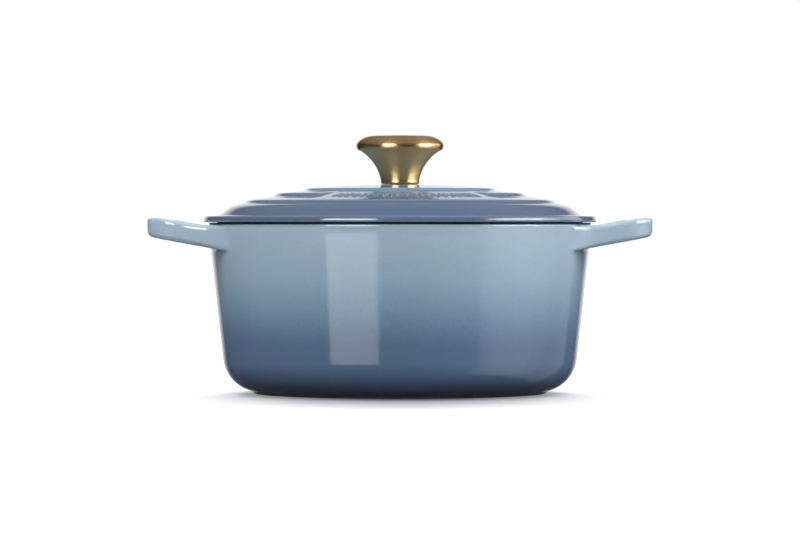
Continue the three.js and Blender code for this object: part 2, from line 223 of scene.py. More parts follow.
def revolved(name, outline, angles, shape=None):
    """Turns an outline in millimetres about Z. An end on the axis becomes one pole.

    Where both ends are off the axis the outline is closed on itself.
    shape(x, y, z) may move the points before they are used.
    """
    poles = [outline[0][0] < 1e-6, outline[-1][0] < 1e-6]
    ring = outline[int(poles[0]): len(outline) - int(poles[1])]
    rows, columns = len(ring), len(angles)
    x = ring[:, :1] * np.cos(angles)
    y = ring[:, :1] * np.sin(angles)
    z = np.repeat(ring[:, 1:], columns, axis=1)
    if shape:
        x, y, z = shape(x, y, z)
    points = np.stack((x, y, z), axis=-1).reshape(-1, 3)
    index = np.arange(rows * columns).reshape(rows, columns)
    upper = index if not any(poles) else index[:-1]
    lower = np.roll(index, -1, axis=0) if not any(poles) else index[1:]
    quads = np.stack(
        (upper, np.roll(upper, -1, axis=1), np.roll(lower, -1, axis=1), lower), axis=-1
    )
    faces = quads.reshape(-1, 4).tolist()
    for pole, end, row in ((poles[0], 0, index[0]), (poles[1], -1, index[-1])):
        if pole:
            centre = len(points)
            points = np.vstack((points, (0, 0, outline[end][1])))
            around = np.roll(row, -1)
            faces += [[centre, int(b), int(a)] for a, b in zip(row, around)]
    obj = new_piece(name, points * MM, faces)
    point_outwards(obj)
    return obj


def swept(name, rows):
    """A closed bar through rows of section points in millimetres, with a face at each end."""
    rows = np.array(rows)
    index = np.arange(rows.shape[0] * rows.shape[1]).reshape(rows.shape[:2])
    around = np.roll(index, -1, axis=1)
    quads = np.stack((index[:-1], around[:-1], around[1:], index[1:]), axis=-1).reshape(-1, 4)
    faces = quads.tolist() + [index[0].tolist(), index[-1].tolist()]
    obj = new_piece(name, rows.reshape(-1, 3) * MM, faces)
    point_outwards(obj)
    return obj


def point_outwards(obj):
    """Closed mesh with its faces outwards and shaded smooth."""
    mesh = bmesh.new()
    mesh.from_mesh(obj.data)
    bmesh.ops.recalc_face_normals(mesh, faces=mesh.faces)
    mesh.to_mesh(obj.data)
    mesh.free()
    obj.data.shade_smooth()


def coordinates(obj):
    points = np.empty(len(obj.data.vertices) * 3)
    obj.data.vertices.foreach_get("co", points)
    return points.reshape(-1, 3)


def radius_and_height(points):
    """Millimetres from the Z axis and above the foot, for points in metres."""
    return np.hypot(points[:, 0], points[:, 1]) / MM, points[:, 2] / MM


def set_coordinates(obj, points):
    obj.data.vertices.foreach_set("co", points.ravel())
    obj.data.update()


def edge_ends(obj):
    ends = np.empty(len(obj.data.edges) * 2, dtype=np.int32)
    obj.data.edges.foreach_get("vertices", ends)
    return ends.reshape(-1, 2).T


def neighbour_mean(values, a, b, count):
    """Each vertex's mean over its neighbours."""
    total = np.zeros((count,) + values.shape[1:])
    np.add.at(total, a, values[b])
    np.add.at(total, b, values[a])
    degree = np.bincount(np.concatenate((a, b)), minlength=count)
    return total / degree.reshape((-1,) + (1,) * (values.ndim - 1))


def relaxed(obj, weight, rounds):
    """Smooths the mesh where weight is above 0."""
    points = coordinates(obj)
    a, b = edge_ends(obj)
    for _ in range(rounds):
        points += weight[:, None] * (neighbour_mean(points, a, b, len(points)) - points) * 0.8
    set_coordinates(obj, points)


def store(obj, name, values):
    """A value for each vertex that a material can read."""
    layer = obj.data.attributes.new(name, "FLOAT", "POINT")
    layer.data.foreach_set("value", np.asarray(values, dtype=np.float32))


def store_convexity(obj, radius):
    """Stores "crest": 1 where the surface bends outwards as tightly as radius, in metres."""
    points = coordinates(obj)
    normals = np.empty(len(points) * 3, dtype=np.float32)
    obj.data.vertex_normals.foreach_get("vector", normals)
    normals = normals.reshape(-1, 3)
    a, b = edge_ends(obj)
    step = points[b] - points[a]
    length_squared = np.maximum((step ** 2).sum(axis=1), 1e-10)
    bend = ((normals[b] - normals[a]) * step).sum(axis=1) / length_squared
    most = np.full(len(points), -1e9)
    np.maximum.at(most, a, bend)
    np.maximum.at(most, b, bend)
    crest = np.clip(most * radius, 0, 1)
    for _ in range(2):
        crest = 0.5 * crest + 0.5 * neighbour_mean(crest, a, b, len(crest))
    store(obj, "crest", crest)


def combined(obj, tool, operation):
    """Joins or cuts obj with tool, and throws the tool away."""
    cut = obj.modifiers.new("join", "BOOLEAN")
    cut.object = tool
    cut.operation = operation
    cut.solver = "EXACT"
    bake_modifiers(obj)
    bpy.data.objects.remove(tool)


def bake_modifiers(obj):
    """Turns the modifiers' result into a plain mesh."""
    graph = bpy.context.evaluated_depsgraph_get()
    mesh = bpy.data.meshes.new_from_object(obj.evaluated_get(graph), depsgraph=graph)
    obj.modifiers.clear()
    obj.data = mesh
    mesh.name = obj.name


# ---- Geometry Nodes ----


def with_spaces(key):
    return key.replace("_", " ")


class Tree:
    """A node tree that is written as nested calls."""

    def __init__(self, name="", kind="GeometryNodeTree", tree=None):
        self.tree = tree or bpy.data.node_groups.new(name, kind)

    def socket(self, name, kind, way="INPUT", value=None):
        made = self.tree.interface.new_socket(name, in_out=way, socket_type="NodeSocket" + kind)
        if value is not None:
            made.default_value = value

    def inputs(self, kind, **values):
        """Inputs of one kind, with the values that they start from."""
        for key, value in values.items():
            self.socket(with_spaces(key), kind, value=value)

    def outputs(self, *rows):
        """The tree's outputs, as (name, kind, the socket that feeds it)."""
        for name, kind, _ in rows:
            self.socket(name, kind, "OUTPUT")
        end = self.node("NodeGroupOutput")
        for name, _, value in rows:
            self.feed(end.inputs[name], value)

    def node(self, kind, inputs=(), **settings):
        made = self.tree.nodes.new(kind)
        for key, value in settings.items():
            setattr(made, key, value)
        for key, value in dict(inputs).items():
            self.feed(made.inputs[key], value)
        return made

    def feed(self, socket, value):
        if isinstance(value, bpy.types.NodeSocket):
            self.tree.links.new(value, socket)
        elif value is not None:
            socket.default_value = value

    def math(self, operation, a, b=None):
        made = self.node("ShaderNodeMath", operation=operation)
        for socket, value in zip(made.inputs, (a, b)):
            self.feed(socket, value)
        return made.outputs[0]

    def plus(self, a, b):
        return self.math("ADD", a, b)

    def minus(self, a, b):
        return self.math("SUBTRACT", a, b)

    def times(self, a, b):
        return self.math("MULTIPLY", a, b)

    def over(self, a, b):
        return self.math("DIVIDE", a, b)

    def range(self, value, low, high, to_low=0.0, to_high=1.0, how="SMOOTHSTEP"):
        made = self.node("ShaderNodeMapRange", interpolation_type=how)
        for socket, given in zip(made.inputs[:5], (value, low, high, to_low, to_high)):
            self.feed(socket, given)
        return made.outputs[0]

    def within(self, value, limit, soft):
        """1 below the limit and 0 above it, with a soft edge."""
        return self.range(value, self.plus(limit, soft), self.minus(limit, soft))

    def either_side(self, value, amount):
        """A value from 0 to 1, as a swing to either side of 0."""
        return self.times(self.minus(value, 0.5), amount)

    def split(self, vector):
        return self.node("ShaderNodeSeparateXYZ", {0: vector}).outputs

    def joined(self, x, y, z):
        return self.node("ShaderNodeCombineXYZ", {0: x, 1: y, 2: z}).outputs[0]

    def axis_distance(self, xyz):
        """Distance from the Z axis."""
        squares = self.plus(self.math("POWER", xyz[0], 2.0), self.math("POWER", xyz[1], 2.0))
        return self.math("SQRT", squares)

    def object_place(self):
        return self.node("ShaderNodeTexCoord").outputs["Object"]

    def noise(self, place, scale, detail):
        return self.node("ShaderNodeTexNoise", {"Vector": place, "Scale": scale, "Detail": detail}).outputs[0]

    def stored(self, name):
        """A value that was stored on the mesh."""
        return self.node("ShaderNodeAttribute", attribute_name=name).outputs["Fac"]

    def mixed(self, share, a, b):
        """Colour a turning to colour b."""
        return self.node("ShaderNodeMix", {0: share, 6: a, 7: b}, data_type="RGBA").outputs[2]

    def bump(self, height, strength, distance):
        given = {"Height": height, "Strength": strength, "Distance": distance}
        return self.node("ShaderNodeBump", given).outputs[0]

    def finish_geometry(self, moved, material):
        real = self.node("GeometryNodeRealizeInstances", {0: moved.outputs[0]})
        done = self.node("GeometryNodeSetMaterial", {"Geometry": real.outputs[0], "Material": material})
        self.outputs(("Geometry", "Geometry", done.outputs[0]))
        return self.tree


def relief_tree():
    """A frieze of open lozenges between bars, raised out of the surface that is given."""
    t = Tree("lid_relief")
    t.socket("Geometry", "Geometry")
    t.inputs("Float", Centre_Direction=0.0, Pitch=0.1, Count=9.0, Radius=0.07, Lozenge_Width=0.006)
    t.inputs("Float", Length=0.01, Bar_Width=0.002, Raise=0.0008, Above=0.0)
    t.socket("Material", "Material")
    given = t.node("NodeGroupInput").outputs
    place = t.split(t.node("GeometryNodeInputPosition").outputs[0])
    radius = t.axis_distance(place)
    direction = t.math("ARCTAN2", place[1], place[0])
    steps = t.over(t.minus(direction, given["Centre Direction"]), given["Pitch"])
    # The cells lie half a pitch either side of the centre
    last = t.minus(t.times(given["Count"], 0.5), 0.5)
    first = t.times(last, -1.0)
    nearest = t.plus(t.math("ROUND", t.minus(steps, last)), last)
    cell = t.math("MINIMUM", t.math("MAXIMUM", nearest, first), last)
    spacing = t.times(given["Pitch"], radius)
    across = t.math("ABSOLUTE", t.times(t.minus(steps, cell), spacing))
    along = t.math("ABSOLUTE", t.minus(radius, given["Radius"]))
    half_length = t.times(given["Length"], 0.5)
    # 0 in the lozenge's middle and 1 on its outline
    sideways = t.over(across, t.times(given["Lozenge Width"], 0.5))
    edge = t.plus(sideways, t.over(along, half_length))
    lozenge = t.times(t.range(edge, 1.08, 0.90), t.range(edge, 0.36, 0.52))
    off_bar = t.math("ABSOLUTE", t.minus(across, t.times(spacing, 0.5)))
    upright = t.within(off_bar, t.times(given["Bar Width"], 0.5), 0.25 * MM)
    mound = t.math("MAXIMUM", lozenge, t.times(upright, t.within(along, half_length, 0.3 * MM)))
    top = t.range(place[2], given["Above"], t.plus(given["Above"], 1 * MM))
    rise = t.times(t.times(mound, top), given["Raise"])
    offset = t.joined(None, None, rise)
    moved = t.node("GeometryNodeSetPosition", {"Geometry": given["Geometry"], "Offset": offset})
    return t.finish_geometry(moved, given["Material"])


def thread_tree():
    """Winds a thread's groove round Z into the surfaces near a radius."""
    t = Tree("screw_thread")
    t.socket("Geometry", "Geometry")
    t.inputs("Float", Radius=0.003, Depth=0.0005, Pitch=0.001, From=0.0, To=1.0)
    t.socket("Material", "Material")
    given = t.node("NodeGroupInput").outputs
    place = t.split(t.node("GeometryNodeInputPosition").outputs[0])
    radius = t.axis_distance(place)
    turn = t.over(t.math("ARCTAN2", place[1], place[0]), math.tau)
    pitches = t.minus(t.over(place[2], given["Pitch"]), turn)
    # The added turns keep the number above 0, where its fraction runs upwards
    phase = t.math("FRACT", t.plus(pitches, 50.0))
    wave = t.math("ABSOLUTE", t.minus(t.times(phase, 2.0), 1.0))
    groove = t.range(wave, 0.15, 0.9, how="LINEAR")
    off = t.math("ABSOLUTE", t.minus(radius, given["Radius"]))
    near = t.range(off, 0.12 * MM, 0.02 * MM)
    run_out = 0.8 * MM
    fade_in = t.range(place[2], given["From"], t.plus(given["From"], run_out))
    fade_out = t.range(place[2], given["To"], t.minus(given["To"], run_out))
    there = t.times(t.times(near, fade_in), fade_out)
    depth = t.times(t.times(groove, there), given["Depth"])
    scale = t.minus(1.0, t.over(depth, t.math("MAXIMUM", radius, 0.1 * MM)))
    to = t.joined(t.times(place[0], scale), t.times(place[1], scale), place[2])
    moved = t.node("GeometryNodeSetPosition", {"Geometry": given["Geometry"], "Position": to})
    return t.finish_geometry(moved, given["Material"])


def run_nodes(obj, tree, values):
    """Puts obj through a Geometry Nodes tree with these inputs, and keeps the result as its mesh."""
    modifier = obj.modifiers.new(tree.name, "NODES")
    modifier.node_group = tree
    for item in tree.interface.items_tree:
        if item.item_type == "SOCKET" and item.in_out == "INPUT" and item.name in values:
            modifier[item.identifier] = values[item.name]
    bake_modifiers(obj)


# ---- Materials ----


def enamel_group():
    """Fired enamel: cloudy colour, fine sprayed specks and the gentle ripple of orange peel."""
    t = Tree("enamel_surface", "ShaderNodeTree")
    t.inputs("Color", Color=(0.5, 0.5, 0.5, 1), Crest_Color=(0.5, 0.5, 0.5, 1))
    t.inputs("Float", Cloud=0.05, Speck=0.05, Crest_Amount=0.3, Roughness=0.08, Peel=0.1)
    given = t.node("NodeGroupInput").outputs
    place = t.object_place()
    cloud = t.noise(place, scale=45.0, detail=3.0)
    speck = t.noise(place, scale=1100.0, detail=2.0)
    thin = t.times(t.range(t.stored("crest"), 0.25, 0.95), given["Crest Amount"])
    edged = t.mixed(thin, given["Color"], given["Crest Color"])
    mottle = t.plus(t.either_side(cloud, given["Cloud"]), t.either_side(speck, given["Speck"]))
    tint = {"Color": edged, "Value": t.plus(mottle, 1.0)}
    tint["Hue"] = t.plus(t.either_side(cloud, 0.035), 0.5)
    tinted = t.node("ShaderNodeHueSaturation", tint).outputs[0]
    smear = t.noise(place, scale=90.0, detail=4.0)
    rough = t.times(given["Roughness"], t.range(smear, 0.3, 0.75, 0.8, 1.35, "LINEAR"))
    peel = t.noise(place, scale=260.0, detail=1.0)
    sag = t.noise(place, scale=38.0, detail=0.0)
    height = t.plus(t.times(peel, 0.25), sag)
    normal = t.bump(height, strength=given["Peel"], distance=0.6 * MM)
    t.outputs(("Color", "Color", tinted), ("Roughness", "Float", rough), ("Normal", "Vector", normal))
    return t.tree


def turned_group():
    """Lathe-turned metal: fine rings round Z, handling marks and brighter crests."""
    t = Tree("turned_metal", "ShaderNodeTree")
    t.inputs("Color", Color=(0.5, 0.5, 0.5, 1), Crest_Color=(0.5, 0.5, 0.5, 1))
    t.inputs("Float", Roughness=0.25, Ring_Depth=0.1, Mark=0.1)
    given = t.node("NodeGroupInput").outputs
    place = t.object_place()
    xyz = t.split(place)
    radius = t.axis_distance(xyz)
    off_axis = t.math("MAXIMUM", radius, 0.5 * MM)
    side = t.over(xyz[0], off_axis)
    front = t.over(xyz[1], off_axis)
    # Fine from ring to ring, and slow to change round a ring
    ring_fineness, ring_drift = 2600.0, 1.6
    ring_place = t.joined(
        t.plus(t.times(radius, ring_fineness), t.times(side, ring_drift)),
        t.times(xyz[2], ring_fineness),
        t.times(front, ring_drift),
    )
    rings = t.noise(ring_place, scale=1.0, detail=3.0)
    marks = t.noise(place, scale=130.0, detail=5.0)
    worn = t.times(t.range(t.stored("crest"), 0.3, 1.0), t.range(marks, 0.35, 0.65, 0.4, 1.0))
    edged = t.mixed(worn, given["Color"], given["Crest Color"])
    value = t.range(rings, 0.3, 0.7, 0.93, 1.05, "LINEAR")
    tinted = t.node("ShaderNodeHueSaturation", {"Color": edged, "Value": value}).outputs[0]
    shine = t.minus(1.0, t.times(worn, 0.25))
    rough = t.plus(t.times(given["Roughness"], shine), t.either_side(marks, given["Mark"]))
    normal = t.bump(rings, strength=given["Ring Depth"], distance=0.05 * MM)
    t.outputs(("Color", "Color", tinted), ("Roughness", "Float", rough), ("Normal", "Vector", normal))
    return t.tree


class Finish(Tree):
    """A material with one Principled shader."""

    def __init__(self, name, **uniform):
        self.material = bpy.data.materials.new(name)
        self.material.use_nodes = True
        self.tree = self.material.node_tree
        self.shader = self.tree.nodes["Principled BSDF"]
        for key, value in uniform.items():
            self.shader.inputs[with_spaces(key)].default_value = value

    def ramp(self, share, stops):
        made = self.node("ShaderNodeValToRGB", {0: share})
        elements = made.color_ramp.elements
        elements[0].position, elements[0].color = stops[0][0], (*stops[0][1], 1)
        elements[1].position, elements[1].color = stops[-1][0], (*stops[-1][1], 1)
        for position, colour in stops[1:-1]:
            elements.new(position).color = (*colour, 1)
        return made.outputs[0]

    def group(self, tree, **inputs):
        made = self.node("ShaderNodeGroup", node_tree=tree)
        for key, value in inputs.items():
            self.feed(made.inputs[with_spaces(key)], value)
        return made.outputs

    def connect(self, **sockets):
        for key, value in sockets.items():
            self.tree.links.new(value, self.shader.inputs[with_spaces(key)])
        return self.material


LINING = (0.70, 0.62, 0.48, 1)
GROUND_COAT = (0.012, 0.012, 0.013, 1)
GLAZE_INDEX = 1.56
POT_SPRAY = [
    (0.03, (0.062, 0.088, 0.158)),
    (0.16, (0.076, 0.121, 0.202)),
    (0.30, (0.079, 0.126, 0.207)),
    (0.40, (0.107, 0.166, 0.256)),
    (0.53, (0.160, 0.236, 0.328)),
    (0.68, (0.220, 0.306, 0.388)),
    (0.92, (0.272, 0.362, 0.436)),
]
LID_SPRAY = [
    (0.15, (0.165, 0.240, 0.325)),
    (0.55, (0.100, 0.152, 0.222)),
    (0.66, (0.074, 0.114, 0.172)),
    (0.80, (0.058, 0.093, 0.150)),
    (0.98, (0.055, 0.090, 0.154)),
]


def spray_mist(f, place):
    return f.noise(place, scale=700.0, detail=3.0)


def ragged_edge(f, place):
    return f.noise(place, scale=420.0, detail=3.0)


def glazed(f, surface, outside, on_rim, crest, crest_share, speck, peel):
    """Puts the lining, the glaze and the black rim on a sprayed colour."""
    lined = f.mixed(f.range(f.stored("lining"), 0.45, 0.55), outside, LINING)
    coat = f.group(
        surface,
        Color=lined,
        Cloud=0.10,
        Speck=speck,
        Crest_Color=f.mixed(crest_share, lined, crest),
        Crest_Amount=0.35,
        Roughness=0.10,
        Peel=peel,
    )
    colour = f.mixed(on_rim, coat["Color"], GROUND_COAT)
    rough = f.range(on_rim, 0.0, 1.0, coat["Roughness"], 0.55, "LINEAR")
    return f.connect(Base_Color=colour, Roughness=rough, Normal=coat["Normal"])


def pot_enamel(surface):
    """Sprayed blue that darkens towards the foot, a pale lining, and a bare black rim."""
    f = Finish("pot_enamel", IOR=GLAZE_INDEX)
    place = f.object_place()
    xyz = f.split(place)
    drift = f.noise(place, scale=14.0, detail=2.0)
    shift = f.plus(f.either_side(spray_mist(f, place), 10 * MM), f.either_side(drift, 9 * MM))
    height = f.over(f.plus(xyz[2], shift), RIM_HEIGHT * MM)
    band_height = f.plus(xyz[2], f.either_side(ragged_edge(f, place), 0.5 * MM))
    in_band = f.range(band_height, (RIM_BAND_FOOT - 0.1) * MM, (RIM_BAND_FOOT + 0.1) * MM)
    off_handles = f.range(f.axis_distance(xyz), (RIM_OUTER + 0.5) * MM, (RIM_OUTER + 0.3) * MM)
    return glazed(
        f,
        surface,
        outside=f.ramp(height, POT_SPRAY),
        on_rim=f.times(in_band, off_handles),
        crest=(0.42, 0.50, 0.55, 1),
        crest_share=0.5,
        speck=0.16,
        peel=0.12,
    )


def lid_enamel(surface):
    """The same glaze on the lid: lighter in the middle, with a pale underside and a black seat."""
    f = Finish("lid_enamel", IOR=GLAZE_INDEX)
    place = f.object_place()
    shift = f.either_side(spray_mist(f, place), 12 * MM)
    share = f.over(f.plus(f.axis_distance(f.split(place)), shift), FLANGE_RADIUS * MM)
    seat = f.plus(f.stored("rim"), f.either_side(ragged_edge(f, place), 0.5))
    return glazed(
        f,
        surface,
        outside=f.ramp(share, LID_SPRAY),
        on_rim=f.range(seat, 0.45, 0.55),
        crest=(0.36, 0.44, 0.50, 1),
        crest_share=0.4,
        speck=0.14,
        peel=0.10,
    )


def turned_metal(surface, name, colour, crest, roughness, rings, marks):
    """Its highlights stretch across the turning marks."""
    f = Finish(name, Metallic=1.0, Anisotropic=0.8, Anisotropic_Rotation=0.25)
    out = f.group(
        surface,
        Color=colour,
        Crest_Color=crest,
        Roughness=roughness,
        Ring_Depth=rings,
        Mark=marks,
    )
    return f.connect(Base_Color=out["Color"], Roughness=out["Roughness"], Normal=out["Normal"])


def seat_rubber():
    """Black heat-proof rubber with moulding dust."""
    f = Finish("seat_rubber", IOR=1.45)
    dust = f.noise(f.object_place(), scale=900.0, detail=5.0)
    colour = f.mixed(f.range(dust, 0.45, 0.8), (0.012, 0.012, 0.013, 1), (0.035, 0.034, 0.033, 1))
    rough = f.range(dust, 0.3, 0.7, 0.55, 0.8)
    return f.connect(Base_Color=colour, Roughness=rough, Normal=f.bump(dust, 0.2, 0.08 * MM))


enamel_surface = enamel_group()
turned_surface = turned_group()
POT_ENAMEL = pot_enamel(enamel_surface)
LID_ENAMEL = lid_enamel(enamel_surface)
GOLD = turned_metal(
    turned_surface,
    "gold_steel",
    colour=(0.60, 0.395, 0.185, 1),
    crest=(0.74, 0.54, 0.30, 1),
    roughness=0.32,
    rings=0.35,
    marks=0.08,
)
BRIGHT_STEEL = turned_metal(
    turned_surface,
    "bright_steel",
    colour=(0.56, 0.57, 0.58, 1),
    crest=(0.68, 0.69, 0.70, 1),
    roughness=0.30,
    rings=0.5,
    marks=0.14,
)
RUBBER = seat_rubber()


# ---- Pot ----


def wall_radius(height):
    return RIM_OUTER - (RIM_HEIGHT - height) * math.tan(DRAFT)


def corner_centre():
    """The middle of the rounding between wall and floor, as (radius, height)."""
    height = UNDERSIDE + CORNER
    return np.array((wall_radius(height) - CORNER / math.cos(DRAFT), height))


def corner_arc(rounding, first, last, steps):
    """An arc round that middle. Angles are from straight down."""
    return arc(corner_centre(), rounding, np.linspace(first, last, steps) - math.pi / 2)


def pot_outline():
    foot_angle = math.asin((FOOT_TOP_RADIUS - corner_centre()[0]) / CORNER)
    upright = math.pi / 2 - DRAFT
    foot = rounded_outline([
        (0, FOOT_RECESS, 0),
        (FOOT_INNER - 1.0, FOOT_RECESS, 1.2),
        (FOOT_INNER, 0, 0.5),
        (FOOT_RADIUS, 0, 0.6),
        (FOOT_TOP_RADIUS, FOOT_TOP_HEIGHT, 0),
    ])
    outside = corner_arc(CORNER, foot_angle, upright, 20)
    inside = corner_arc(CORNER - WALL, upright, 0, 16)
    rim = rounded_outline([
        tuple(outside[-1]) + (0,),
        (RIM_OUTER - 0.05, RIM_HEIGHT - 0.9, 2.4),
        (RIM_OUTER - 1.3, RIM_HEIGHT, 0.6),
        (RIM_INNER, RIM_HEIGHT, 0.9),
        (RIM_INNER, RIM_HEIGHT - 4, 8),
        tuple(inside[0]) + (0,),
    ], math.radians(14))
    floor = np.array([(0, UNDERSIDE + WALL)])
    return np.vstack((foot[:-1], outside, rim[1:-1], inside, floor))


def row_length(middle):
    """Rows are short where the handles join the outside wall."""
    radius, height = middle
    outside = radius > RIM_INNER - (RIM_HEIGHT - height) * math.tan(DRAFT) + 1
    if outside and height > HANDLE_ZONE:
        return 1.3
    return 6.0 if radius > 20 else 12.0


def handle_top(x):
    return HANDLE_TOP + HANDLE_TOP_RISE * smoothstep(HANDLE_RISE_START, HANDLE_RISE_END, x)


def handle_bottom(x):
    return HANDLE_LOW + HANDLE_LOW_SLOPE * (x - HANDLE_LOW_START)


def handle_edges():
    """The loop's outer and inner edges in plan, as matching points from root to root."""
    bar_x = HANDLE_REACH - HANDLE_BOW
    outer_corner = np.array((bar_x - HANDLE_CORNER, HANDLE_CORNER - HANDLE_HALF))
    hole_x = bar_x - HANDLE_BAR
    hole_half = HANDLE_HALF - HANDLE_ARM
    inner_corner = np.array((hole_x - HANDLE_HOLE_CORNER, HANDLE_HOLE_CORNER - hole_half))
    arm_share = np.linspace(0, 1, 30)[:-1]
    outer_arm = bezier([
        (106, -62), (115, -52), (outer_corner[0] - 20, -HANDLE_HALF), (outer_corner[0], -HANDLE_HALF)
    ], arm_share)
    inner_arm = bezier([
        (117.3, -29.5), (121.5, -hole_half), (125, -hole_half), (inner_corner[0], -hole_half)
    ], arm_share)
    turn = np.linspace(-math.pi / 2, 0, 22)[:-1]
    bar = np.linspace(0, 1, 24)
    bow = HANDLE_BOW * (1 - (1 - bar) ** 2)
    outer_bar = np.stack((bar_x + bow, outer_corner[1] * (1 - bar)), axis=1)
    inner_bar = np.stack((hole_x + bow, inner_corner[1] * (1 - bar)), axis=1)
    outer = np.vstack((outer_arm, arc(outer_corner, HANDLE_CORNER, turn), outer_bar))
    inner = np.vstack((inner_arm, arc(inner_corner, HANDLE_HOLE_CORNER, turn), inner_bar))
    flip = np.array((1, -1))
    return np.vstack((outer, outer[-2::-1] * flip)), np.vstack((inner, inner[-2::-1] * flip))


def bar_section(width, arc_steps=6, flat_steps=5):
    """Points round a bar's section: (distance across, share of the way up, extra height).

    The way up runs from the centres of the bottom roundings to those of the top ones.
    """
    top, low = HANDLE_TOP_EDGE, HANDLE_LOW_EDGE
    # Each rounding's centre across and up, its radius, and the half turns at its start
    corners = [(width - top, 1, top, 0.0), (top, 1, top, 0.5), (low, 0, low, 1.0), (width - low, 0, low, 1.5)]
    rows = []
    for k, (across, up, rounding, first) in enumerate(corners):
        for angle in np.linspace(first, first + 0.5, arc_steps + 1) * math.pi:
            rows.append((across + rounding * math.cos(angle), up, rounding * math.sin(angle)))
        across, up, rounding, first = corners[(k + 1) % 4]
        angle = first * math.pi
        start = rows[-1]
        end = (across + rounding * math.cos(angle), up, rounding * math.sin(angle))
        for share in np.linspace(0, 1, flat_steps + 1)[1:-1]:
            rows.append(tuple(a + (b - a) * share for a, b in zip(start, end)))
    return rows


def handle(name, side):
    """One loop handle as a closed bar whose ends lie inside the pot's wall."""
    rows = []
    for outer, inner in zip(*handle_edges()):
        width = np.linalg.norm(outer - inner)
        row = []
        for across, up, lift in bar_section(width):
            x, y = inner + (outer - inner) * across / width
            top, bottom = handle_top(x) - HANDLE_TOP_EDGE, handle_bottom(x) + HANDLE_LOW_EDGE
            row.append((side * x, side * y, bottom + (top - bottom) * up + lift))
        rows.append(row)
    return swept(name, rows)


def nearest_finder(points):
    finder = kdtree.KDTree(len(points))
    for i, point in enumerate(points):
        finder.insert(point, i)
    finder.balance()
    return finder


def soften_joint(obj, before):
    """Rounds the crease that a join has made. Points that weren't there before mark the crease."""
    mesh = bmesh.new()
    mesh.from_mesh(obj.data)
    bmesh.ops.triangulate(mesh, faces=[f for f in mesh.faces if len(f.verts) > 4])
    mesh.to_mesh(obj.data)
    mesh.free()
    old = nearest_finder(before)
    points = coordinates(obj)
    crease = nearest_finder([p for p in points if old.find(p)[2] > 1e-6])
    away = np.array([crease.find(p)[2] for p in points]) / MM
    radius, height = radius_and_height(points)
    outside = radius > wall_radius(height) - WALL / 2
    weight = (1 - smoothstep(0.25 * FILLET_REACH, FILLET_REACH, away)) * outside
    # The rim itself keeps its shape
    rim_height = np.where(radius < RIM_OUTER + 0.4, height, 0)
    weight *= 1 - smoothstep(RIM_BAND_FOOT - 1.2, RIM_BAND_FOOT, rim_height)
    relaxed(obj, weight, 10)


def pot_lining(points):
    """1 on the inside of the pot."""
    radius, height = radius_and_height(points)
    corner_x, corner_z = corner_centre()
    in_wall = radius < wall_radius(height) - WALL / 2
    in_corner = np.hypot(radius - corner_x, height - corner_z) < CORNER - WALL / 2
    on_floor = height > UNDERSIDE + WALL / 2
    lower = np.where(radius > corner_x, in_corner, on_floor)
    return np.where(height > corner_z, in_wall, lower).astype(float)


def pot_casting():
    fine, coarse = 0.5, 1.6
    angles = spaced_angles([
        (-34, 34, fine), (34, 146, coarse), (146, 214, fine), (214, 326, coarse),
    ])
    pot = revolved("pot_casting", refined(pot_outline(), row_length), angles)
    right = handle("right", 1)
    left = handle("left", -1)
    before = np.vstack((coordinates(pot), coordinates(right), coordinates(left)))
    combined(pot, right, "UNION")
    combined(pot, left, "UNION")
    soften_joint(pot, before)
    point_outwards(pot)
    store(pot, "lining", pot_lining(coordinates(pot)))
    store_convexity(pot, 3 * MM)
    pot.data.materials.clear()
    pot.data.materials.append(POT_ENAMEL)
    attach(pot, "pot")
    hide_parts("pot")


# ---- Lid ----


def lid_outline():
    """The lid's section as a closed outline, from the screw's hole out over the top and back below."""
    under = CROWN_HEIGHT - LID_WALL
    in_hole = (LID_HOLE, (under + CROWN_HEIGHT) / 2, 0)
    seat = RIM_HEIGHT + GAP
    steps = []
    for edge, high, foot, low in TERRACES:
        steps += [(edge, high, 1.7), (foot, low, 3)]
    return rounded_outline([
        in_hole,
        (LID_HOLE, CROWN_HEIGHT, 0.5),
        (19, CROWN_HEIGHT, 60),
        *steps,
        (109.8, 121.7, 17),
        (117.9, 115.2, 4.5),
        (FLANGE_RADIUS - 0.72, RIM_HEIGHT + 4.18, 0.45),
        (FLANGE_RADIUS, RIM_HEIGHT + 2.82, 4.8),
        (FLANGE_RADIUS, RIM_HEIGHT + 0.4, 0.7),
        (121.9, RIM_HEIGHT + 0.4, 0.1),
        (121.5, seat, 0.2),
        (LIP_RADIUS, seat, 0.6),
        (LIP_RADIUS, LIP_BOTTOM, 1.0),
        (113.3, LIP_BOTTOM, 1.2),
        (112.2, 112.8, 8),
        (106.6, 118.4, 12),
        (80, 125.2, 60),
        (50, 129.7, 60),
        (13, under, 30),
        (LID_HOLE, under, 0.5),
        in_hole,
    ], math.radians(7))[:-1]


def turned_from(direction, centre):
    """The angle between a direction and a centre, from 0 to half a turn."""
    return np.abs((direction - centre + math.pi) % math.tau - math.pi)


